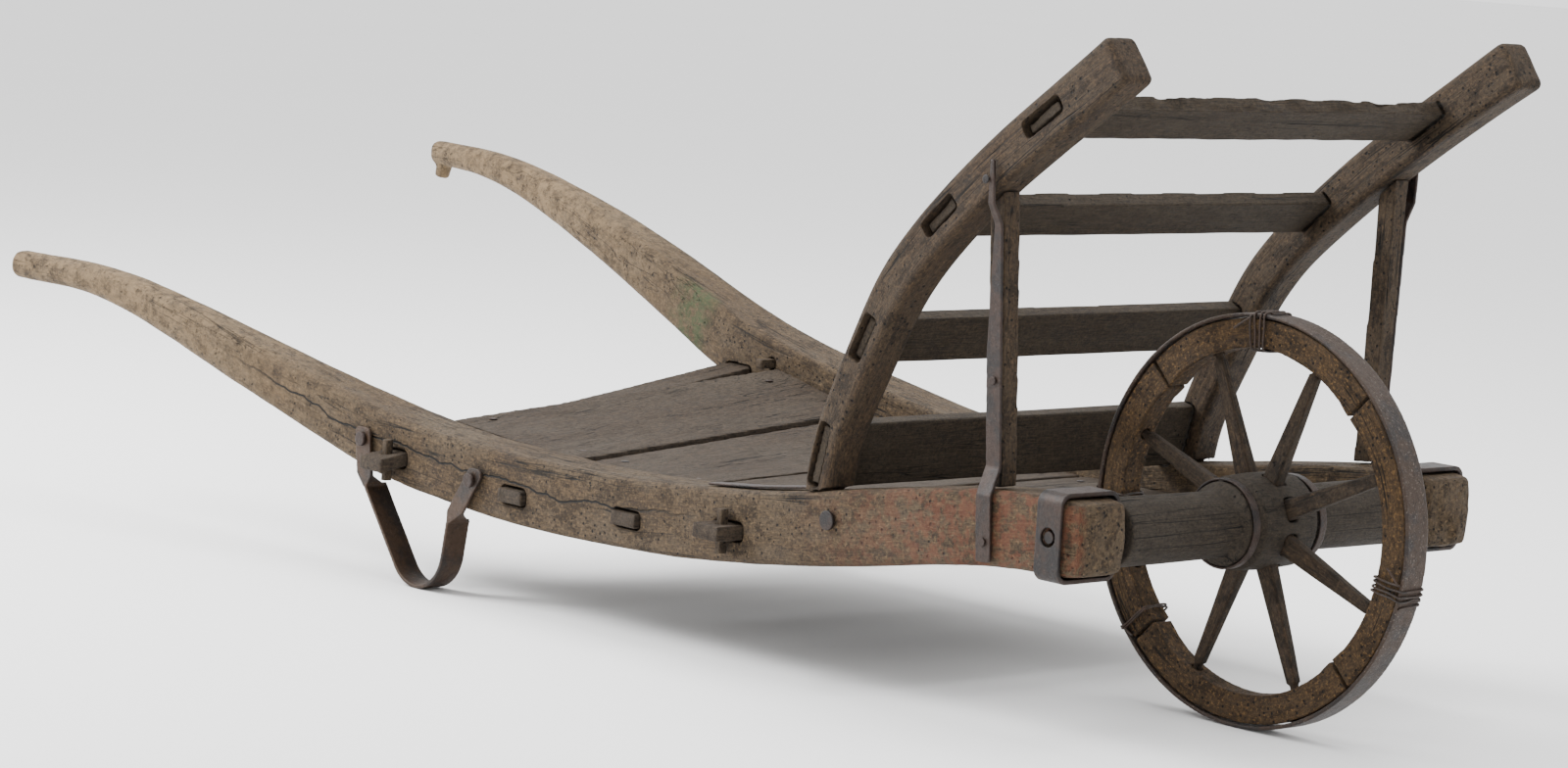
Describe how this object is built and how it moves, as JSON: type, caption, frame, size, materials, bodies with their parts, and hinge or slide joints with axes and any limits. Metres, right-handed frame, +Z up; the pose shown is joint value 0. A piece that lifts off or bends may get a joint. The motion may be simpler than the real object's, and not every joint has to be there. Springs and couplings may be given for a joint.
{
  "type": "wooden wheelbarrow",
  "caption": "Old wooden wheelbarrow with curved side timbers, a slatted headboard, iron leg hoops and a spoked wheel with an iron tyre.",
  "frame": {"origin": "on the floor, under the middle of the whole length and width", "axes": "+X forward to the wheel, +Y to the left of the person pushing, +Z up"},
  "size_m": [2.16, 0.7324, 0.7492],
  "materials": {
    "beam_wood": "weathered, hand-worn at the grips",
    "upright_wood": "weathered",
    "slat_wood": "dark, weathered",
    "bed_wood": "weathered",
    "nave_wood": "dark, weathered",
    "spoke_wood": "weathered",
    "felloe_wood": "weathered, worm-eaten",
    "strap_iron": "forged, rusted",
    "hoop_iron": "forged, rusted",
    "fixing_iron": "forged, rusted",
    "tyre_iron": "forged, worn",
    "wire_iron": "rusted wire"
  },
  "bodies": {
    "barrow": {"right_beam": "beam_wood", "left_beam": "beam_wood", "right_upright": "upright_wood", "left_upright": "upright_wood", "right_post": "upright_wood", "left_post": "upright_wood", "headboard_board": "slat_wood", "headboard_slat_1": "slat_wood", "headboard_slat_2": "slat_wood", "headboard_slat_3": "slat_wood", "bed_board_1": "bed_wood", "bed_board_2": "bed_wood", "bed_board_3": "bed_wood", "bed_board_4": "bed_wood", "cross_rail_1": "bed_wood", "cross_rail_2": "bed_wood", "cross_rail_3": "bed_wood", "cross_rail_4": "bed_wood", "bed_peg": "bed_wood", "right_tenon_wedges": "bed_wood", "left_tenon_wedges": "bed_wood", "right_brace_strap": "strap_iron", "right_corner_strap": "strap_iron", "right_bearing_band": "strap_iron", "left_brace_strap": "strap_iron", "left_corner_strap": "strap_iron", "left_bearing_band": "strap_iron", "right_leg_hoop": "hoop_iron", "left_leg_hoop": "hoop_iron", "hoop_bolts": "fixing_iron", "strap_nails": "fixing_iron", "bed_nails": "fixing_iron", "beam_pins": "fixing_iron"},
    "wheel": {"nave": "nave_wood", "nave_bands": "tyre_iron", "axle_pins": "fixing_iron", "tyre": "tyre_iron", "tyre_nails": "fixing_iron", "spoke_1": "spoke_wood", "spoke_2": "spoke_wood", "spoke_3": "spoke_wood", "spoke_4": "spoke_wood", "spoke_5": "spoke_wood", "spoke_6": "spoke_wood", "spoke_7": "spoke_wood", "spoke_8": "spoke_wood", "felloe_1": "felloe_wood", "felloe_2": "felloe_wood", "felloe_3": "felloe_wood", "felloe_4": "felloe_wood", "rim_wire_1": "wire_iron", "rim_wire_2": "wire_iron", "rim_wire_3": "wire_iron", "rim_wire_4": "wire_iron"}
  },
  "joints": [
    {"name": "wheel_spin", "type": "hinge", "parent": "barrow", "child": "wheel", "pos_m": [0.855, 0, 0.225], "axis": [0, 1, 0], "continuous": true}
  ]
}
